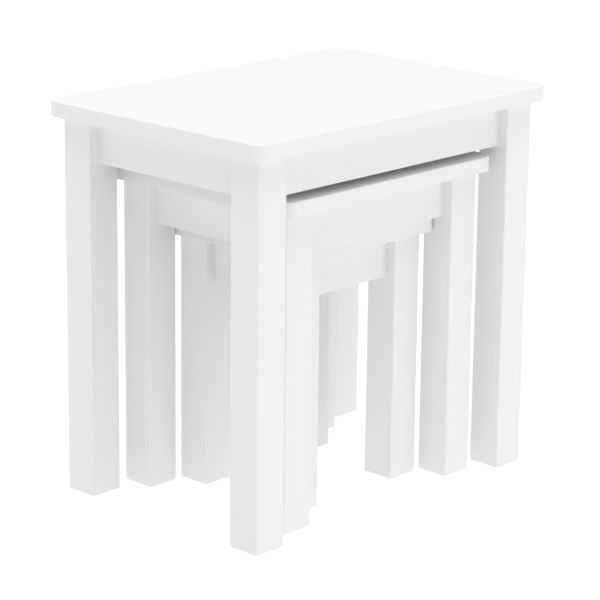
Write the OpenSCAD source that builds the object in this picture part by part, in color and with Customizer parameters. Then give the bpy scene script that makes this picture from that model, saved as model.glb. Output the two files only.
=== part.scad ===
// Nest of three painted wooden tables. Each one stands inside the next larger one,
// with its top below the larger table's aprons and its legs between the larger legs.
// Origin: on the floor, under the middle of the large top. +Z is up, X is along the
// long sides, and -Y is the front. All sizes are in millimetres.

/* [Large table] */
// Width of the large top, along X
large_w = 500; // [480:1:560]
// Depth of the large top, along Y
large_d = 350; // [340:1:400]
// Height of the large table over its top
large_h = 480; // [475:1:560]

/* [Medium table] */
// Width of the medium top, which passes between the large table's front legs
medium_w = 360; // [358:1:376]
// Depth of the medium top
medium_d = 300; // [280:1:320]
// Height of the medium table, which passes under the large table's aprons
medium_h = 400; // [399:1:405]

/* [Small table] */
// Width of the small top, which passes between the medium table's front legs
small_w = 238; // [220:1:239]
// Depth of the small top
small_d = 220; // [210:1:250]
// Height of the small table, which passes under the medium table's aprons
small_h = 328; // [280:1:329]

/* [Tops] */
// Thickness of the three tops
top_t = 18; // [16:0.5:19]
// Corner radius of the large and medium tops, seen from above
corner_r = 18; // [5:0.5:25]
// Corner radius of the small top
small_corner_r = 9; // [5:0.5:20]
// How far a top stands out past its legs
overhang = 15.5; // [12:0.5:16]
// How far the small top stands out past its legs at its two ends
small_end_overhang = 9.5; // [5:0.5:12]

/* [Legs] */
// Side of a square leg
leg_size = 44; // [40:0.5:44.5]
// Rounding of a leg's long edges
leg_edge_r = 2; // [1:0.5:4]

/* [Aprons] */
// Height of an apron
apron_h = 52.5; // [50:0.5:53.5]
// Thickness of an apron
apron_t = 18; // [16:0.5:18]
// How far an apron is set back from the outer faces of the legs
apron_setback = 14; // [10:0.5:14]

/* [Corner blocks] */
// Height of a corner block
block_h = 44; // [40:1:50]
// Thickness of a corner block, measured along its bolt
block_t = 18; // [17:0.5:20]

/* [Fasteners] */
// Diameter of a hanger bolt
bolt_d = 8; // [6:1:8]
// Length of a hanger bolt in the leg
bolt_grip = 34; // [25:1:36]
// Diameter of a dowel
dowel_d = 8; // [6:1:8]
// Length of a dowel, half of it in the leg and half in the apron
dowel_len = 30; // [20:1:30]
// Diameter of a screw's shank
screw_d = 4; // [3:0.5:4]

/* [Glides] */
// Diameter of a glide
glide_d = 22; // [16:1:30]
// Height of a glide below the leg
glide_h = 1.5; // [1:0.5:3]

/* [Hidden] */
$fn = 48;

// name, width, depth, height, end overhang, corner radius
TABLES = [
    ["large", large_w, large_d, large_h, overhang, corner_r],
    ["medium", medium_w, medium_d, medium_h, overhang, corner_r],
    ["small", small_w, small_d, small_h, small_end_overhang, small_corner_r]
];
function name(t) = t[0];
function width(t) = t[1];
function depth(t) = t[2];
function height(t) = t[3];
function end_overhang(t) = t[4];
function radius(t) = t[5];

// Half the distance between the legs' outer faces, along X and along Y
function leg_x(t) = width(t) / 2 - end_overhang(t);
function leg_y(t) = depth(t) / 2 - overhang;
// Height of the top's underside, and of the hanger bolts, halfway up the aprons
function under(t) = height(t) - top_t;
function bolt_z(t) = under(t) - apron_h / 2;

// name, and which side it is on: -1 is left or front, 1 is right or back
LONG_SIDES = [["front", -1], ["back", 1]];
END_SIDES = [["left", -1], ["right", 1]];
CORNERS = [for (y = LONG_SIDES, x = END_SIDES) [str(y[0], "_", x[0]), x[1], y[1]]];
GROUPS = ["hanger_bolts", "washers", "nuts", "dowels", "block_screws", "top_screws", "glides"];

// A corner's frame has its origin at the leg's outer corner, on the floor, with X and Y
// both pointing into the table. These are places in that frame.
apron_inner = apron_setback + apron_t;
apron_middle = apron_setback + apron_t / 2;
leg_middle = leg_size / 2;
// The leg's inner edge is cut flat where the corner block pulls it tight. The block's two
// long faces reach this far along each apron.
block_near = 14;
block_far = block_near + block_t * sqrt(2);
flat_middle = apron_inner + block_near / 2;

// Added to a bore's diameter: for a fastener that bites, and for one that passes through
bite = 0.1;
slack = 0.6;
// Added to a bore's depth, and how far a cutter stands out of the face that it cuts
spare = 0.5;
proud = 1;

washer_d = 16;
washer_t = 1.6;
nut_flats = 13;
nut_h = 6.5;
bolt_end = 4;
bolt_len = bolt_grip + block_t + washer_t + nut_h + bolt_end;

head_d = 7.5;
head_h = 2.5;
head_bore_d = 9;
// Block screw: how far it is along the apron from the apron's inner corner, how far above
// the hanger bolt, how far its head is from the apron, and how deep it goes
block_screw_along = 31;
block_screw_rise = 12;
block_screw_seat = 5;
block_screw_depth = 13;
// Top screw: its place from the inner faces of the two aprons, how far its head is sunk
// in the block's underside, and how deep it goes in the top
top_screw_x = 22;
top_screw_y = 8;
top_screw_sink = 6;
top_screw_depth = 12;

// Each end of an apron has two dowels, this far above and below the hanger bolt
dowel_rise = 16;

nail_d = 3;
nail_len = 14;

// Draws its children in the frame of the corner on that side of the table
module at_corner(t, x_side, y_side) {
    translate([x_side * leg_x(t), y_side * leg_y(t), 0])
        mirror([x_side > 0 ? 1 : 0, 0, 0])
            mirror([0, y_side > 0 ? 1 : 0, 0])
                children();
}

module at_corners(t) {
    for (c = CORNERS)
        at_corner(t, c[1], c[2])
            children();
}

// Draws its children, and again with X and Y swapped
module both_ways() {
    children();
    mirror([1, -1, 0])
        children();
}

// Stands its children on the middle of the leg's flat, pointing into the table
module on_diagonal(z) {
    translate([flat_middle, flat_middle, z])
        rotate([0, 0, 45])
            rotate([0, 90, 0])
                children();
}

// The two dowels between a leg and the apron along X
module dowel_pair(t, d, length) {
    for (side = [-1, 1])
        translate([leg_size - length / 2, apron_middle, bolt_z(t) + side * dowel_rise])
            rotate([0, 90, 0])
                cylinder(d = d, h = length);
}

// A cylinder on the block screw's axis, between two distances from the apron along X
module on_block_screw(t, d, from, to) {
    translate([apron_inner + block_screw_along, apron_inner + from, bolt_z(t) + block_screw_rise])
        rotate([-90, 0, 0])
            cylinder(d = d, h = to - from);
}

// A cylinder on the top screw's axis, between two heights over the top's underside
module on_top_screw(t, d, from, to) {
    translate([apron_inner + top_screw_x, apron_inner + top_screw_y, under(t) + from])
        cylinder(d = d, h = to - from);
}

module tube(d, bore, h) {
    difference() {
        cylinder(d = d, h = h);
        translate([0, 0, -proud])
            cylinder(d = bore, h = h + 2 * proud);
    }
}

module rounded_rectangle(w, d, r) {
    square([w - 2 * r, d], center = true);
    square([w, d - 2 * r], center = true);
    for (x = [-1, 1], y = [-1, 1])
        translate([x * (w / 2 - r), y * (d / 2 - r)])
            circle(r = r);
}

module tabletop(t) {
    color("white")
        difference() {
            translate([0, 0, under(t)])
                linear_extrude(top_t)
                    rounded_rectangle(width(t), depth(t), radius(t));
            at_corners(t)
                both_ways()
                    on_top_screw(t, screw_d + bite, -proud, top_screw_depth + spare);
        }
}

module leg(t, c) {
    color("white")
        at_corner(t, c[1], c[2])
            difference() {
                translate([leg_middle, leg_middle, glide_h])
                    linear_extrude(under(t) - glide_h)
                        rounded_rectangle(leg_size, leg_size, leg_edge_r);
                on_diagonal(under(t) - block_h / 2)
                    translate([-block_h / 2 - proud, -leg_size / 2, 0])
                        cube([block_h + 2 * proud, leg_size, leg_size]);
                on_diagonal(bolt_z(t))
                    translate([0, 0, -bolt_grip - spare])
                        cylinder(d = bolt_d + bite, h = leg_size);
                both_ways()
                    dowel_pair(t, dowel_d + bite, dowel_len + 2 * spare);
                translate([leg_middle, leg_middle, 0])
                    cylinder(d = nail_d + bite, h = glide_h + nail_len + spare);
            }
}

// An apron along X, in the frame of the corner at its low end
module apron(t, length) {
    middle = leg_size + length / 2;
    difference() {
        translate([leg_size, apron_setback, under(t) - apron_h])
            cube([length, apron_t, apron_h]);
        for (far_end = [0, 1])
            translate([middle, 0, 0])
                mirror([far_end, 0, 0])
                    translate([-middle, 0, 0]) {
                        dowel_pair(t, dowel_d + bite, dowel_len + 2 * spare);
                        on_block_screw(t, screw_d + bite, -block_screw_depth - spare, proud);
                    }
    }
}

module long_apron(t, y_side) {
    color("white")
        at_corner(t, -1, y_side)
            apron(t, 2 * (leg_x(t) - leg_size));
}

module end_apron(t, x_side) {
    color("white")
        at_corner(t, x_side, -1)
            mirror([1, -1, 0])
                apron(t, 2 * (leg_y(t) - leg_size));
}

module corner_block(t, c) {
    color("burlywood")
        at_corner(t, c[1], c[2])
            difference() {
                translate([apron_inner, apron_inner, under(t) - block_h])
                    linear_extrude(block_h)
                        polygon([[block_near, 0], [block_far, 0], [0, block_far], [0, block_near]]);
                on_diagonal(bolt_z(t))
                    translate([0, 0, -proud])
                        cylinder(d = bolt_d + slack, h = block_t + 2 * proud);
                both_ways() {
                    on_block_screw(t, screw_d + slack, -proud, block_far);
                    on_block_screw(t, head_bore_d, block_screw_seat, block_far);
                    on_top_screw(t, screw_d + slack, -block_h - proud, proud);
                    on_top_screw(t, head_bore_d, -block_h - proud, -block_h + top_screw_sink);
                }
            }
}

module hanger_bolts(t) {
    color("silver")
        at_corners(t)
            on_diagonal(bolt_z(t))
                translate([0, 0, -bolt_grip])
                    cylinder(d = bolt_d, h = bolt_len);
}

module washers(t) {
    color("silver")
        at_corners(t)
            on_diagonal(bolt_z(t))
                translate([0, 0, block_t])
                    tube(washer_d, bolt_d + slack, washer_t);
}

module nuts(t) {
    color("silver")
        at_corners(t)
            on_diagonal(bolt_z(t))
                translate([0, 0, block_t + washer_t])
                    difference() {
                        cylinder(d = nut_flats / cos(30), h = nut_h, $fn = 6);
                        translate([0, 0, -proud])
                            cylinder(d = bolt_d + bite, h = nut_h + 2 * proud);
                    }
}

module dowels(t) {
    color("tan")
        at_corners(t)
            both_ways()
                dowel_pair(t, dowel_d, dowel_len);
}

module block_screws(t) {
    color("goldenrod")
        at_corners(t)
            both_ways() {
                on_block_screw(t, screw_d, -block_screw_depth, block_screw_seat);
                on_block_screw(t, head_d, block_screw_seat, block_screw_seat + head_h);
            }
}

module top_screws(t) {
    seat = -block_h + top_screw_sink;
    color("goldenrod")
        at_corners(t)
            both_ways() {
                on_top_screw(t, screw_d, seat, top_screw_depth);
                on_top_screw(t, head_d, seat - head_h, seat);
            }
}

module glides(t) {
    color("gainsboro")
        at_corners(t)
            translate([leg_middle, leg_middle, 0]) {
                cylinder(d = glide_d, h = glide_h);
                cylinder(d = nail_d, h = glide_h + nail_len);
            }
}

for (t = TABLES) {
    tabletop(t);
    for (c = CORNERS) {
        leg(t, c);
        corner_block(t, c);
    }
    for (s = LONG_SIDES) {
        long_apron(t, s[1]);
    }
    for (s = END_SIDES) {
        end_apron(t, s[1]);
    }
    hanger_bolts(t);
    washers(t);
    nuts(t);
    dowels(t);
    block_screws(t);
    top_screws(t);
    glides(t);
}
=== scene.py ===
"""Detailed pieces and finishes for a nest of three painted tables, built on the CAD frame.

Everything is in metres in the frame's own axes: +Z up, X along the long sides, -Y the front.
Each table's boards, legs and blocks take their sizes from its CAD nodes; the hardware has
the same sizes as in the CAD model.
"""

import math

import bmesh
import bpy
from mathutils import Matrix, Quaternion, Vector


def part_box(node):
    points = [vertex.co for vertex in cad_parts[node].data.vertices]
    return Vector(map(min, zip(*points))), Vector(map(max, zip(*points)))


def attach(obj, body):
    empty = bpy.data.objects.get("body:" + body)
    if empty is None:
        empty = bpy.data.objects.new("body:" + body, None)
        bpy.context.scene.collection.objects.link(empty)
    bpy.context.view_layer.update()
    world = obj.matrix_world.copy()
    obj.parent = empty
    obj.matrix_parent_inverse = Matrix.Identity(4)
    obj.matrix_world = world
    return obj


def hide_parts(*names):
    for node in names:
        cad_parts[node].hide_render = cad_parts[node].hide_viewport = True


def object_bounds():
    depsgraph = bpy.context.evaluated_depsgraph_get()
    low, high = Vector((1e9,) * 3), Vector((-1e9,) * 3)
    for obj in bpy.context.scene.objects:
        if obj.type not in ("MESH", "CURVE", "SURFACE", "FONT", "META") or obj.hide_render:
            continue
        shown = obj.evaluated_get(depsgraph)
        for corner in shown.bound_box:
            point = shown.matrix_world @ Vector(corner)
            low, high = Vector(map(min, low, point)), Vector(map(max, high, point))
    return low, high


TAU = 2 * math.pi
MM = 0.001
# How close together counts as the same height
NEAR = 0.01 * MM

TABLES = ("large", "medium", "small")
# How many quarter turns take the front left corner, or the front side, to each other one
CORNERS = {"front_left": 0, "front_right": 1, "back_right": 2, "back_left": 3}
SIDES = {"front": 0, "right": 1, "back": 2, "left": 3}

# Tops: the radius of their corners seen from above, and of their upper and lower edges
CORNER_RADIUS = {"large": 18 * MM, "medium": 18 * MM, "small": 9 * MM}
TOP_EDGE = 0.8 * MM
TOP_LOWER_EDGE = 0.5 * MM
# The radius of the edges of legs, aprons and corner blocks
LEG_EDGE = 2 * MM
APRON_EDGE = 0.7 * MM
BLOCK_EDGE = 0.8 * MM
# How many faces go round an edge, and round a corner of a top
EDGE_STEPS = 5
CORNER_STEPS = 14

# Corner block: how far along each apron its leg side starts, which is also where the leg's
# inner edge is cut flat; and how far that cut stands out past the block
BLOCK_NEAR = 14 * MM
FLAT_SPARE = 1 * MM

# Bores: how much wider they are than what bites in them, and than what passes through; how
# much deeper; and how far a cutter stands out of the face that it goes in at
BITE = 0.1 * MM
SLACK = 0.6 * MM
SPARE = 0.5 * MM
PROUD = 1 * MM

# Hanger bolt: a wood thread that grips the leg, and a machine thread that stands out of it
# for the washer and nut. A root is a share of the thread's radius, and the nut's round face
# a share of its width over flats.
BOLT_D = 8 * MM
BOLT_GRIP = 34 * MM
BOLT_OUT = 30.1 * MM
BOLT_PITCH = 1.25 * MM
BOLT_ROOT = 0.84
LAG_PITCH = 3.2 * MM
LAG_ROOT = 0.7
LAG_POINT = 7 * MM
WASHER_D = 16 * MM
WASHER_T = 1.6 * MM
NUT_FLATS = 13 * MM
NUT_H = 6.5 * MM
NUT_FACE = 0.95

# Dowels: two in each end of an apron, this far above and below the bolt
DOWEL_D = 8 * MM
DOWEL_LEN = 30 * MM
DOWEL_RISE = 16 * MM
FLUTES = 12

# Screws. Block screws are placed along the apron, above the bolt, and in from the apron's
# inner face; top screws in X and Y from the aprons' inner corner, and sunk in the block. The
# depth is in the board that a screw bites in, and the thread is the threaded length, which
# starts with a plain run-in. A root and a shank are shares of the thread's radius.
SCREW_D = 4 * MM
SCREW_PITCH = 1.8 * MM
SCREW_ROOT = 0.62
SCREW_SHANK = 0.72
SCREW_POINT = 5 * MM
RUN_IN = 1 * MM
HEAD_D = 7.5 * MM
HEAD_H = 2.5 * MM
HEAD_BORE_D = 9 * MM
BLOCK_SCREW_ALONG = 31 * MM
BLOCK_SCREW_RISE = 12 * MM
BLOCK_SCREW_SEAT = 5 * MM
BLOCK_SCREW_DEPTH = 13 * MM
BLOCK_SCREW_THREAD = 14 * MM
TOP_SCREW_X = 22 * MM
TOP_SCREW_Y = 8 * MM
TOP_SCREW_SINK = 6 * MM
TOP_SCREW_DEPTH = 12 * MM
TOP_SCREW_THREAD = 30 * MM

# Glide: its nail's head is sunk into it by a share of its height
GLIDE_D = 22 * MM
GLIDE_SEAT = 0.6
NAIL_D = 3 * MM
NAIL_LEN = 14 * MM

# Points round a hardware piece, and rings in one turn of a thread
ROUND = 24
THREAD_STEPS = 6
# Faces that meet at more than this angle keep a sharp edge between them
SHARP_ANGLE = math.radians(38)

# Camera: its angle round the object and above the floor, its roll, its lens and sensor in
# millimetres, its distance, and where it aims from the middle of the object's box
CAMERA_AZIMUTH = math.radians(46.51)
CAMERA_ELEVATION = math.radians(15.86)
CAMERA_ROLL = math.radians(0.64)
CAMERA_LENS = 155.3
CAMERA_SENSOR = 36
CAMERA_DISTANCE = 3.128
CAMERA_AIM = Vector((-0.003, -0.003, -0.0145))

# Studio: how far the floor reaches, its colour and how much it glows, the light of the room,
# and each soft light's strength, apparent width in degrees, and direction
FLOOR_REACH = 15
FLOOR_COLOUR = (0.2, 0.2, 0.2)
FLOOR_GLOW = 0.86
ROOM_LIGHT = 0.49
SOFT_LIGHTS = {
    "overhead": (2.06, 80, Vector((0, 0, 1))),
    "front_fill": (0.4, 50, Vector((0.3, -1, 0.22))),
}


# ---- meshes -------------------------------------------------------------------------------


def solid(rings, hollow=False):
    """A closed bmesh through rings with the same number of points. A hollow one joins its
    last ring to its first, as in a washer; any other has flat ends."""
    bm = bmesh.new()
    loops = [[bm.verts.new(point) for point in points] for points in rings]
    pairs = list(zip(loops, loops[1:]))
    if hollow:
        pairs.append((loops[-1], loops[0]))
    else:
        bm.faces.new(loops[0])
        bm.faces.new(loops[-1])
    for low, high in pairs:
        for i, point in enumerate(low):
            following = (i + 1) % len(low)
            bm.faces.new((point, low[following], high[following], high[i]))
    bmesh.ops.recalc_face_normals(bm, faces=bm.faces)
    return bm


def ring(z, radius, points=ROUND):
    """Points round the Z axis at a height. The radius is a number or a function of the angle."""
    loop = []
    for i in range(points):
        angle = TAU * i / points
        reach = radius(angle) if callable(radius) else radius
        loop.append(Vector((reach * math.cos(angle), reach * math.sin(angle), z)))
    return loop


def turned(profile, hollow=False, points=ROUND):
    """A solid of revolution about Z. The profile is a list of (height, radius)."""
    return solid([ring(z, radius, points) for z, radius in profile], hollow)


def prism(outline, low, high):
    """A straight solid over an outline of (x, y) points, between two heights."""
    return solid([[Vector((x, y, z)) for x, y in outline] for z in (low, high)])


def rounded_rectangle(low, high, radius):
    """An outline between two corners, with round corners."""
    outline = []
    corners = [(high.x, high.y), (low.x, high.y), (low.x, low.y), (high.x, low.y)]
    for turn, (x, y) in enumerate(corners):
        centre_x = x - math.copysign(radius, x - (low.x + high.x) / 2)
        centre_y = y - math.copysign(radius, y - (low.y + high.y) / 2)
        for step in range(CORNER_STEPS + 1):
            angle = TAU / 4 * (turn + step / CORNER_STEPS)
            outline.append(
                (centre_x + radius * math.cos(angle), centre_y + radius * math.sin(angle))
            )
    return outline


def ease(bm, radius, chosen):
    """Rounds the edges that the function chosen picks."""
    edges = [edge for edge in bm.edges if chosen(*(v.co for v in edge.verts))]
    bmesh.ops.bevel(
        bm, geom=edges, offset=radius, segments=EDGE_STEPS, profile=0.5, affect="EDGES"
    )
    return bm


def at_height(z):
    """Picks the edges that lie at a height."""
    return lambda a, b: abs(a.z - z) < NEAR and abs(b.z - z) < NEAR


def moved(bm, place):
    """A copy of the bmesh at another place."""
    copy = bm.copy()
    copy.transform(place)
    return copy


def joined(parts):
    """One bmesh out of several."""
    whole = bmesh.new()
    for part in parts:
        mesh = bpy.data.meshes.new("part")
        part.to_mesh(mesh)
        whole.from_mesh(mesh)
        bpy.data.meshes.remove(mesh)
    return whole


def placed(name, bm):
    """A new object in the scene that holds the bmesh."""
    mesh = bpy.data.meshes.new(name)
    bm.to_mesh(mesh)
    bm.free()
    made = bpy.data.objects.new(name, mesh)
    bpy.context.scene.collection.objects.link(made)
    return made


def bored(bm, cutters):
    """The bmesh with the cutters taken out of it. The cutters stay clear of each other."""
    body = placed("body", bm)
    tool = placed("tool", joined(cutters))
    modifier = body.modifiers.new("bores", "BOOLEAN")
    modifier.operation = "DIFFERENCE"
    modifier.solver = "EXACT"
    modifier.object = tool
    result = bmesh.new()
    result.from_object(body, bpy.context.evaluated_depsgraph_get())
    for made in (body, tool):
        mesh = made.data
        bpy.data.objects.remove(made)
        bpy.data.meshes.remove(mesh)
    return result


def facing(position, direction):
    """A place whose Z axis points in a direction."""
    turn = Vector(direction).to_track_quat("Z", "Y").to_matrix().to_4x4()
    return Matrix.Translation(position) @ turn


def both_ways(position, direction):
    """A place in a corner's frame, and the one with X and Y swapped."""
    x, y, z = position
    dx, dy, dz = direction
    return [facing((x, y, z), (dx, dy, dz)), facing((y, x, z), (dy, dx, dz))]


def bore(place, diameter, start, end):
    """A cutter along a place's Z axis."""
    return moved(turned([(start, diameter / 2), (end, diameter / 2)]), place)


def stepped_bore(place, through, sunk):
    """A cutter for a screw whose head's seat is at the place: how far it goes on past the seat,
    and how far the head's wider bore comes back from it."""
    shank, head = (SCREW_D + SLACK) / 2, HEAD_BORE_D / 2
    profile = [(through, shank), (0, shank), (0, head), (-sunk, head)]
    return moved(turned(profile, points=2 * ROUND), place)


# ---- hardware, each piece along its own Z axis ----------------------------------------------


def thread(start, end, root, crest, pitch, limit):
    """Rings of a right-handed thread whose crests are narrower than its valleys. limit(z) is
    the widest that it may be at a height."""
    count = round((end - start) / pitch * THREAD_STEPS)
    rings = []
    for step in range(count + 1):
        z = start + (end - start) * step / count

        def radius(angle, z=z):
            swell = 0.5 + 0.5 * math.cos(TAU * z / pitch - angle)
            return min(root + (crest - root) * swell**1.5, limit(z))

        rings.append(ring(z, radius))
    return rings


def point_to(tip, length, radius):
    """The limit of a thread that ends in a point, which is a little blunt."""
    blunt = 0.08 * MM
    return lambda z: max(blunt, radius * min(1, abs(tip - z) / length))


def hanger_bolt():
    """Wood thread with a point below zero, machine thread with a chamfered end above it."""
    crest = BOLT_D / 2
    collar = 1.5 * MM
    chamfer = 1 * MM
    point = point_to(-BOLT_GRIP, LAG_POINT, crest)
    wood = thread(-BOLT_GRIP, -collar, LAG_ROOT * crest, crest, LAG_PITCH, point)

    def chamfered(z):
        return min(crest, crest - chamfer + BOLT_OUT - z)

    machine = thread(collar, BOLT_OUT, BOLT_ROOT * crest, crest, BOLT_PITCH, chamfered)
    return solid(wood + machine)


def washer():
    """A flat washer with eased edges."""
    inner, outer, edge = (BOLT_D + SLACK) / 2, WASHER_D / 2, 0.2 * MM
    section = [
        (0, inner + edge),
        (0, outer - edge),
        (edge, outer),
        (WASHER_T - edge, outer),
        (WASHER_T, outer - edge),
        (WASHER_T, inner + edge),
        (WASHER_T - edge, inner),
        (edge, inner),
    ]
    return turned(section, hollow=True, points=2 * ROUND)


def nut():
    """A hexagon nut, whose corners are turned off at both faces."""
    flat = NUT_FLATS / 2
    hole = (BOLT_D + BITE) / 2
    lead = 0.6 * MM
    slope = math.sqrt(3)
    run = flat * (1 / math.cos(TAU / 12) - NUT_FACE) / slope
    steps = 6

    def outside(z):
        limit = NUT_FACE * flat + min(z, NUT_H - z) * slope

        def radius(angle):
            off_flat = (angle + TAU / 12) % (TAU / 6) - TAU / 12
            return min(flat / math.cos(off_flat), limit)

        return ring(z, radius, 2 * ROUND)

    low = [outside(run * step / steps) for step in range(steps + 1)]
    high = [outside(NUT_H - run * step / steps) for step in range(steps, -1, -1)]
    inside = [(NUT_H, hole + lead), (NUT_H - lead, hole), (lead, hole), (0, hole + lead)]
    return solid(low + high + [ring(z, r, 2 * ROUND) for z, r in inside], hollow=True)


def cross_recess():
    """The cutter of a screw head's cross recess: it narrows as it goes in."""
    # Height, and how far each arm reaches and half its width in millimetres
    sections = [(-HEAD_H - PROUD, 2.6, 0.55), (-HEAD_H, 2.1, 0.45), (-HEAD_H / 3, 0.6, 0.3)]
    rings = []
    for z, reach, half in sections:
        outline = []
        for arm in range(4):
            turn = Matrix.Rotation(TAU / 4 * arm, 3, "Z")
            for x, y in [(half, -half), (reach, -half), (reach, half)]:
                outline.append(turn @ Vector((x * MM, y * MM, z)))
        rings.append(outline)
    return solid(rings)


def screw(length, threaded):
    """A pan-head wood screw. Its head's seat is at zero, and it points along +Z."""
    # The domed head, in shares of its height and its radius
    head = [(-1, 0.45), (-0.97, 0.65), (-0.88, 0.82), (-0.72, 0.94), (-0.5, 1), (-0.08, 1), (0, 0.97)]
    rings = [ring(height * HEAD_H, radius * HEAD_D / 2) for height, radius in head]
    crest = SCREW_D / 2
    shank = SCREW_SHANK * crest
    rings += [ring(0, shank), ring(length - threaded, shank)]
    start = length - threaded + RUN_IN
    point = point_to(length, SCREW_POINT, crest)
    rings += thread(start, length, SCREW_ROOT * crest, crest, SCREW_PITCH, point)
    return bored(solid(rings), [cross_recess()])


def dowel():
    """A fluted dowel with chamfered ends."""
    half, chamfer, radius, flute = DOWEL_LEN / 2, 1 * MM, DOWEL_D / 2, 0.25 * MM

    def fluted(shrink):
        return lambda angle: radius - shrink - flute * max(0, math.cos(FLUTES * angle)) ** 2

    heights = [(-half, chamfer), (chamfer - half, 0), (half - chamfer, 0), (half, chamfer)]
    return solid([ring(z, fluted(shrink), 4 * FLUTES) for z, shrink in heights])


def glide(height):
    """A moulded disc with a sunk hole for its nail. Its sole is at zero."""
    outer, head, hole = GLIDE_D / 2, 3.2 * MM, NAIL_D / 2 + BITE
    sunk = GLIDE_SEAT * height
    # Out over the sole, up its round edge, and back in and down through the hole
    section = [
        (0, head + 0.3 * MM),
        (0, outer - 0.8 * MM),
        (0.1 * MM, outer - 0.35 * MM),
        (0.35 * MM, outer - 0.1 * MM),
        (0.7 * MM, outer),
        (height - 0.3 * MM, outer),
        (height, outer - 0.3 * MM),
        (height, hole),
        (sunk, hole),
        (sunk, head),
        (0.2 * MM, head),
    ]
    return turned(section, hollow=True, points=2 * ROUND)


def nail(height):
    """The glide's nail: a low domed head in the sunk hole, a shank and a point."""
    shank, head, sunk = NAIL_D / 2, 2.9 * MM, GLIDE_SEAT * height
    tip = height + NAIL_LEN
    profile = [
        (sunk - 0.65 * MM, 0.4 * head),
        (sunk - 0.6 * MM, 0.75 * head),
        (sunk - 0.4 * MM, head),
        (sunk - 0.05 * MM, head),
        (sunk, 0.96 * head),
        (sunk, shank),
        (tip - 4 * MM, shank),
        (tip, 0.1 * shank),
    ]
    return turned(profile)


# ---- finishes -------------------------------------------------------------------------------


def node(tree, kind, inputs=None, **settings):
    """A new shader node. An input is a value, or another node's output to link."""
    made = tree.nodes.new("ShaderNode" + kind)
    for name, value in settings.items():
        setattr(made, name, value)
    for name, value in (inputs or {}).items():
        if isinstance(value, bpy.types.NodeSocket):
            tree.links.new(value, made.inputs[name])
        else:
            made.inputs[name].default_value = value
    return made


def new_material(name, **sockets):
    """A material, its node tree and its shader with the sockets given."""
    material = bpy.data.materials.new(name)
    material.use_nodes = True
    shader = material.node_tree.nodes["Principled BSDF"]
    for socket, value in sockets.items():
        shader.inputs[socket.replace("_", " ")].default_value = value
    return material, material.node_tree, shader


def coordinates(tree, scale=(1, 1, 1), turn=0):
    """The object's own coordinates, turned about Z and then stretched."""
    own = node(tree, "TexCoord").outputs["Object"]
    aligned = node(tree, "Mapping", {"Vector": own, "Rotation": (0, 0, turn)}).outputs[0]
    return node(tree, "Mapping", {"Vector": aligned, "Scale": scale}).outputs[0]


def noise(tree, vector, scale, detail=2, distortion=0):
    """Noise of about 0 to 1, with features about 1 / scale metres across."""
    inputs = {"Vector": vector, "Scale": scale, "Detail": detail, "Distortion": distortion}
    return node(tree, "TexNoise", inputs).outputs["Fac"]


def spread(tree, value, low, high):
    """The noise's usual range, 0.3 to 0.7, spread over another one."""
    inputs = {"Value": value, "From Min": 0.3, "From Max": 0.7, "To Min": low, "To Max": high}
    return node(tree, "MapRange", inputs).outputs[0]


def blended(tree, factor, first, second):
    """A colour between two others."""
    made = node(tree, "Mix", data_type="RGBA")
    tree.links.new(factor, made.inputs["Factor"])
    for socket, colour in zip([s for s in made.inputs if s.type == "RGBA"], (first, second)):
        if isinstance(colour, bpy.types.NodeSocket):
            tree.links.new(colour, socket)
        else:
            socket.default_value = (*colour, 1)
    return next(s for s in made.outputs if s.type == "RGBA")


def relief(tree, shader, layers):
    """Bumps on the shader's surface. Each layer is (height, its depth in metres)."""
    normal = None
    for height, depth in layers:
        inputs = {"Height": height, "Distance": depth, "Strength": 1}
        if normal:
            inputs["Normal"] = normal
        normal = node(tree, "Bump", inputs).outputs[0]
    tree.links.new(normal, shader.inputs["Normal"])


def along(axis, lengthwise, across):
    """Scales that draw a pattern out along an axis."""
    return [lengthwise if name == axis else across for name in "xyz"]


def painted_wood(axis):
    """Satin white paint, sprayed over a board whose grain runs along an axis."""
    material, tree, shader = new_material(f"satin_white_paint_{axis}", Specular_IOR_Level=0.45)
    plain = coordinates(tree)
    grain = noise(tree, coordinates(tree, along(axis, 14, 420)), 1, 3, 0.4)
    peel = noise(tree, plain, 900, 1)
    flow = noise(tree, plain, 140, 2)
    cloud = noise(tree, plain, 9, 2)
    white = blended(tree, cloud, (0.884, 0.884, 0.884), (0.889, 0.889, 0.889))
    tree.links.new(white, shader.inputs["Base Color"])
    patches, fine = spread(tree, cloud, 0.385, 0.415), spread(tree, flow, -0.03, 0.03)
    sheen = node(tree, "Math", {0: fine, 1: patches}).outputs[0]
    tree.links.new(sheen, shader.inputs["Roughness"])
    relief(tree, shader, [(grain, 0.04 * MM), (flow, 0.06 * MM), (peel, 0.015 * MM)])
    return material


def bare_wood(turn):
    """Sawn softwood. Its grain runs level, along X turned by an angle."""
    material, tree, shader = new_material(f"sawn_softwood_{round(math.degrees(turn)) % 180}")
    rings = noise(tree, coordinates(tree, (5, 110, 80), -turn), 1, 4, 1.2)
    fibre = noise(tree, coordinates(tree, (60, 1900, 1900), -turn), 1, 2)
    saw = noise(tree, coordinates(tree, (700, 25, 25), -turn), 1, 1)
    early, late = (0.74, 0.58, 0.39), (0.56, 0.38, 0.21)
    timber = blended(tree, spread(tree, rings, 0, 1), early, late)
    streaked = blended(tree, spread(tree, fibre, 0, 0.35), timber, (0.44, 0.29, 0.16))
    tree.links.new(streaked, shader.inputs["Base Color"])
    tree.links.new(spread(tree, rings, 0.78, 0.66), shader.inputs["Roughness"])
    relief(tree, shader, [(rings, 0.12 * MM), (fibre, 0.08 * MM), (saw, 0.1 * MM)])
    return material


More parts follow.
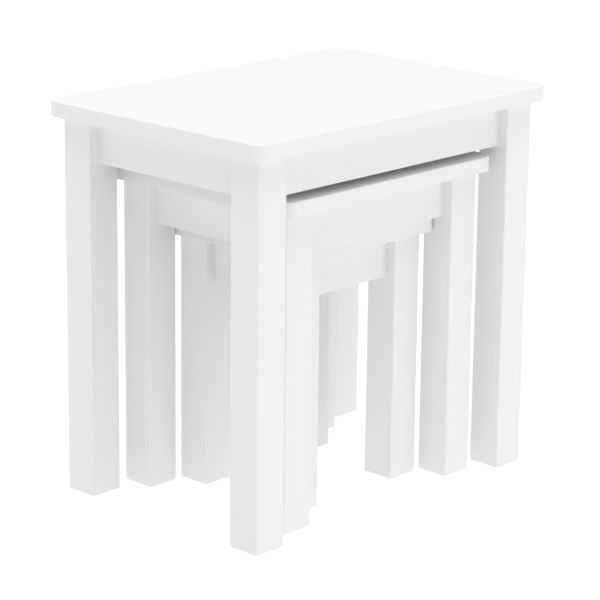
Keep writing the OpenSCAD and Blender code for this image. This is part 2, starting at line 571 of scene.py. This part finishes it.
def dowel_wood():
    """Turned beech, with short dark flecks."""
    material, tree, shader = new_material("turned_beech")
    plain = coordinates(tree)
    cloud = noise(tree, plain, 120, 3)
    fleck = noise(tree, plain, 900, 1)
    body = blended(tree, cloud, (0.6, 0.42, 0.27), (0.7, 0.52, 0.35))
    flecked = blended(tree, spread(tree, fleck, -0.8, 0.5), body, (0.36, 0.2, 0.1))
    tree.links.new(flecked, shader.inputs["Base Color"])
    tree.links.new(spread(tree, cloud, 0.55, 0.7), shader.inputs["Roughness"])
    relief(tree, shader, [(fleck, 0.05 * MM)])
    return material


def plated(name, first, second, smooth, rough):
    """Plated steel, a little cloudy, with fine drawn scratches."""
    material, tree, shader = new_material(name, Metallic=1)
    plain = coordinates(tree)
    cloud = noise(tree, plain, 260, 3)
    grit = noise(tree, plain, 4000, 2)
    colour = blended(tree, spread(tree, cloud, 0, 1), first, second)
    tree.links.new(colour, shader.inputs["Base Color"])
    tree.links.new(spread(tree, cloud, smooth, rough), shader.inputs["Roughness"])
    relief(tree, shader, [(grit, 0.01 * MM)])
    return material


def glide_plastic():
    """Moulded nylon, lightly scuffed."""
    material, tree, shader = new_material("moulded_nylon", Specular_IOR_Level=0.4)
    plain = coordinates(tree)
    scuff = noise(tree, plain, 500, 4, 1)
    body = blended(tree, scuff, (0.66, 0.66, 0.63), (0.76, 0.76, 0.74))
    tree.links.new(body, shader.inputs["Base Color"])
    tree.links.new(spread(tree, scuff, 0.42, 0.62), shader.inputs["Roughness"])
    relief(tree, shader, [(scuff, 0.03 * MM)])
    return material


# ---- one table ------------------------------------------------------------------------------


class Table:
    """Where one table's pieces are, read from its CAD nodes. A corner's own frame has its
    origin on the floor under the leg's outer corner, with X and Y pointing inward. A side's
    own frame has X along the apron, Y inward from its outer face, and Z up from the floor."""

    def __init__(self, name):
        self.name = name
        leg_low, leg_high = self.box("leg_front_left")
        apron_low, apron_high = self.box("apron_front")
        block_low, block_high = self.box("corner_block_front_left")
        self.leg_x, self.leg_y = -leg_low.x, -leg_low.y
        self.leg = leg_high.x - leg_low.x
        self.foot = leg_low.z
        self.under = leg_high.z
        self.apron_t = apron_high.y - apron_low.y
        self.apron_bottom = apron_low.z
        self.inner = apron_high.y - leg_low.y
        self.block_bottom = block_low.z
        self.block_far = block_high.x - block_low.x
        self.block_t = (self.block_far - BLOCK_NEAR) / math.sqrt(2)
        self.bolt_z = (self.under + self.apron_bottom) / 2

        flat = self.inner + BLOCK_NEAR / 2
        self.bolt = facing((flat, flat, self.bolt_z), (1, 1, 0))
        self.washer = self.bolt @ Matrix.Translation((0, 0, self.block_t))
        self.nut = self.bolt @ Matrix.Translation((0, 0, self.block_t + WASHER_T))
        self.dowels = []
        for rise in (-DOWEL_RISE, DOWEL_RISE):
            socket = (self.leg, self.inner - self.apron_t / 2, self.bolt_z + rise)
            self.dowels += both_ways(socket, (1, 0, 0))
        seat = (
            self.inner + BLOCK_SCREW_ALONG,
            self.inner + BLOCK_SCREW_SEAT,
            self.bolt_z + BLOCK_SCREW_RISE,
        )
        self.block_screws = both_ways(seat, (0, -1, 0))
        self.top_screw_seat = self.block_bottom + TOP_SCREW_SINK
        seat = (self.inner + TOP_SCREW_X, self.inner + TOP_SCREW_Y, self.top_screw_seat)
        self.top_screws = both_ways(seat, (0, 0, 1))
        self.sole = [Matrix.Translation((self.leg / 2, self.leg / 2, 0))]

    def box(self, part):
        """The low and high corners of one of the table's CAD nodes."""
        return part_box(f"{self.name}_{part}")

    def at_corner(self, corner):
        """The place of a corner's own frame."""
        x = self.leg_x if "right" in corner else -self.leg_x
        y = self.leg_y if "back" in corner else -self.leg_y
        return Matrix.Translation((x, y, 0)) @ Matrix.Rotation(TAU / 4 * CORNERS[corner], 4, "Z")

    def at_side(self, side):
        """The place of a side's own frame."""
        low, high = self.box(f"apron_{side}")
        out = {"front": -low.y, "right": high.x, "back": high.y, "left": -low.x}[side]
        return Matrix.Rotation(TAU / 4 * SIDES[side], 4, "Z") @ Matrix.Translation((0, -out, 0))

    def add(self, part, bm, material, slot, node_name=None):
        """Stands a bmesh in the scene in place of one of the table's CAD nodes."""
        piece = placed(f"{self.name}_{part}_detailed", bm)
        piece.data.materials.append(material)
        piece.data.shade_smooth()
        piece.data.set_sharp_from_angle(angle=SHARP_ANGLE)
        piece.modifiers.new("even_normals", "WEIGHTED_NORMAL").keep_sharp = True
        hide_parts(f"{self.name}_{node_name or part}")
        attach(piece, f"{self.name}_table")

    def add_at_corners(self, part, bm, places, material, slot, node_name=None):
        """One piece out of copies of a small part: at these places in each corner's frame."""
        copies = []
        for corner in CORNERS:
            copies += [moved(bm, self.at_corner(corner) @ place) for place in places]
        self.add(part, joined(copies), material, slot, node_name)

    def top(self):
        """The tabletop, bored for its screws."""
        low, high = self.box("top")
        outline = rounded_rectangle(low, high, CORNER_RADIUS[self.name])
        board = ease(prism(outline, low.z, high.z), TOP_EDGE, at_height(high.z))
        board = ease(board, TOP_LOWER_EDGE, at_height(low.z))
        mouth = self.under - self.top_screw_seat
        pilots = []
        for corner in CORNERS:
            for place in self.top_screws:
                start, end = mouth - PROUD, mouth + TOP_SCREW_DEPTH + SPARE
                pilots.append(bore(self.at_corner(corner) @ place, SCREW_D + BITE, start, end))
        return bored(board, pilots)

    def leg_post(self):
        """A leg in its corner's frame: a post with round edges, cut flat where its corner
        block pulls on it, and bored for its bolt, dowels and glide nail."""
        size = self.leg
        outline = [(0, 0), (size, 0), (size, size), (0, size)]
        post = prism(outline, self.foot, self.under)
        post = ease(post, LEG_EDGE, lambda a, b: min(a.z, b.z) < self.foot + NEAR)
        flat = prism(
            [(0, -size), (size, -size), (size, size), (0, size)],
            self.block_bottom - FLAT_SPARE - self.bolt_z,
            self.under + FLAT_SPARE - self.bolt_z,
        )
        upright = Matrix.Translation(self.bolt.translation) @ Matrix.Rotation(TAU / 8, 4, "Z")
        cutters = [moved(flat, upright)]
        for place in self.sole:
            cutters.append(bore(place, NAIL_D + BITE, 0, self.foot + NAIL_LEN + SPARE))
        for place in self.dowels:
            cutters.append(bore(place, DOWEL_D + BITE, -DOWEL_LEN / 2 - SPARE, PROUD))
        post = bored(post, cutters)
        return bored(post, [bore(self.bolt, BOLT_D + BITE, -BOLT_GRIP - SPARE, PROUD)])

    def apron(self, side):
        """An apron in its side's frame, bored for its dowels and block screws."""
        low, high = self.box(f"apron_{side}")
        half = max(high.x - low.x, high.y - low.y) / 2
        outline = [(-half, 0), (half, 0), (half, self.apron_t), (-half, self.apron_t)]
        board = prism(outline, self.apron_bottom, self.under)

        def lower_edge(a, b):
            return abs(a.x - b.x) > MM and a.z < self.apron_bottom + NEAR

        board = ease(board, APRON_EDGE, lower_edge)
        screw_x = half + self.leg - self.inner - BLOCK_SCREW_ALONG
        screw_z = self.bolt_z + BLOCK_SCREW_RISE
        cutters = []
        for end in (-1, 1):
            for rise in (-DOWEL_RISE, DOWEL_RISE):
                socket = facing((end * half, self.apron_t / 2, self.bolt_z + rise), (-end, 0, 0))
                cutters.append(bore(socket, DOWEL_D + BITE, -PROUD, DOWEL_LEN / 2 + SPARE))
            pilot = facing((end * screw_x, self.apron_t, screw_z), (0, -1, 0))
            cutters.append(bore(pilot, SCREW_D + BITE, -PROUD, BLOCK_SCREW_DEPTH + SPARE))
        return bored(board, cutters)

    def corner_block(self):
        """A corner block in its corner's frame, with stepped bores for its screws."""
        near, far = BLOCK_NEAR, self.block_far
        outline = [(near, 0), (far, 0), (0, far), (0, near)]
        outline = [(self.inner + x, self.inner + y) for x, y in outline]
        block = prism(outline, self.block_bottom, self.under)
        block = ease(block, BLOCK_EDGE, lambda a, b: True)
        cutters = [bore(self.bolt, BOLT_D + SLACK, -PROUD, self.block_t + PROUD)]
        for place in self.block_screws:
            cutters.append(stepped_bore(place, BLOCK_SCREW_SEAT + PROUD, far))
        through = self.under - self.top_screw_seat + PROUD
        for place in self.top_screws:
            cutters.append(stepped_bore(place, through, TOP_SCREW_SINK + PROUD))
        return bored(block, cutters)

    def build(self, finishes):
        """Makes every piece of the table."""
        paint = finishes["paint"]
        self.add("top", self.top(), paint["x"], "painted_wood")
        post, block = self.leg_post(), self.corner_block()
        for corner, turns in CORNERS.items():
            place = self.at_corner(corner)
            self.add(f"leg_{corner}", moved(post, place), paint["z"], "painted_wood")
            timber = finishes["timber"][turns % 2]
            self.add(f"corner_block_{corner}", moved(block, place), timber, "bare_wood")
        for side in SIDES:
            axis = "y" if side in ("left", "right") else "x"
            board = moved(self.apron(side), self.at_side(side))
            self.add(f"apron_{side}", board, paint[axis], "painted_wood")

        zinc, yellow = finishes["zinc"], finishes["yellow"]
        block_screw = screw(BLOCK_SCREW_SEAT + BLOCK_SCREW_DEPTH, BLOCK_SCREW_THREAD)
        top_screw_length = self.under - self.top_screw_seat + TOP_SCREW_DEPTH
        top_screw = screw(top_screw_length, TOP_SCREW_THREAD)
        self.add_at_corners("hanger_bolts", hanger_bolt(), [self.bolt], zinc, "zinc_steel")
        self.add_at_corners("washers", washer(), [self.washer], zinc, "zinc_steel")
        self.add_at_corners("nuts", nut(), [self.nut], zinc, "zinc_steel")
        self.add_at_corners("dowels", dowel(), self.dowels, finishes["beech"], "dowel_wood")
        self.add_at_corners("block_screws", block_screw, self.block_screws, yellow, "yellow_zinc")
        self.add_at_corners("top_screws", top_screw, self.top_screws, yellow, "yellow_zinc")
        self.add_at_corners("glides", glide(self.foot), self.sole, finishes["nylon"], "glide_plastic")
        self.add_at_corners("glide_nails", nail(self.foot), self.sole, zinc, "zinc_steel", "glides")


# ---- studio ---------------------------------------------------------------------------------


def make_floor():
    """A large floor that glows evenly, as a photographer's light table does."""
    bm = bmesh.new()
    corners = [(-1, -1), (1, -1), (1, 1), (-1, 1)]
    bm.faces.new([bm.verts.new((x * FLOOR_REACH, y * FLOOR_REACH, 0)) for x, y in corners])
    floor = placed("floor", bm)
    material = new_material(
        "light_table",
        Base_Color=(*FLOOR_COLOUR, 1),
        Roughness=0.9,
        Specular_IOR_Level=0.1,
        Emission_Color=(1, 1, 1, 1),
        Emission_Strength=FLOOR_GLOW,
    )[0]
    floor.data.materials.append(material)


def make_studio():
    """An even room, a very soft light overhead and a weak one from the front."""
    world = bpy.data.worlds.new("studio")
    world.use_nodes = True
    background = world.node_tree.nodes["Background"]
    background.inputs["Color"].default_value = (1, 1, 1, 1)
    background.inputs["Strength"].default_value = ROOM_LIGHT
    bpy.context.scene.world = world

    for name, (strength, width, source) in SOFT_LIGHTS.items():
        data = bpy.data.lights.new(name, "SUN")
        data.energy = strength
        data.angle = math.radians(width)
        light = bpy.data.objects.new(name, data)
        light.rotation_euler = (-source).to_track_quat("-Z", "Y").to_euler()
        bpy.context.scene.collection.objects.link(light)

    view = bpy.context.scene.view_settings
    view.view_transform = "Standard"
    view.look = "None"
    view.exposure = 0
    view.gamma = 1


def make_camera(middle):
    """A camera that looks down at the middle of the object from its front left."""
    level = math.cos(CAMERA_ELEVATION)
    ahead_x, ahead_y = math.sin(CAMERA_AZIMUTH) * level, math.cos(CAMERA_AZIMUTH) * level
    ahead = Vector((ahead_x, ahead_y, -math.sin(CAMERA_ELEVATION)))
    data = bpy.data.cameras.new("camera")
    data.lens = CAMERA_LENS
    data.sensor_width = CAMERA_SENSOR
    camera = bpy.data.objects.new("camera", data)
    camera.rotation_mode = "QUATERNION"
    camera.location = middle + CAMERA_AIM - ahead * CAMERA_DISTANCE
    roll = Quaternion((0, 0, 1), CAMERA_ROLL)
    camera.rotation_quaternion = ahead.to_track_quat("-Z", "Y") @ roll
    bpy.context.scene.collection.objects.link(camera)
    bpy.context.scene.camera = camera


# ---- scene ----------------------------------------------------------------------------------

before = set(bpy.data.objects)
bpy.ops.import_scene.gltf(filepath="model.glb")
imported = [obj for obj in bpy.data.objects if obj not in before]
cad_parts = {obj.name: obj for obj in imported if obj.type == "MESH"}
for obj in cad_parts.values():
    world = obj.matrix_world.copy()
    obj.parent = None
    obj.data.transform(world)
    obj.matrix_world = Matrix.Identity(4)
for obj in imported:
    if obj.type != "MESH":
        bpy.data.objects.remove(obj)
cad_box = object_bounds()
middle = (cad_box[0] + cad_box[1]) / 2

make_camera(middle)
make_floor()
make_studio()

finishes = {
    "paint": {axis: painted_wood(axis) for axis in "xyz"},
    "timber": [bare_wood(-TAU / 8), bare_wood(TAU / 8)],
    "beech": dowel_wood(),
    "zinc": plated("bright_zinc", (0.62, 0.64, 0.67), (0.72, 0.73, 0.75), 0.24, 0.4),
    "yellow": plated("yellow_zinc", (0.78, 0.6, 0.27), (0.72, 0.62, 0.4), 0.26, 0.42),
    "nylon": glide_plastic(),
}
for table_name in TABLES:
    Table(table_name).build(finishes)
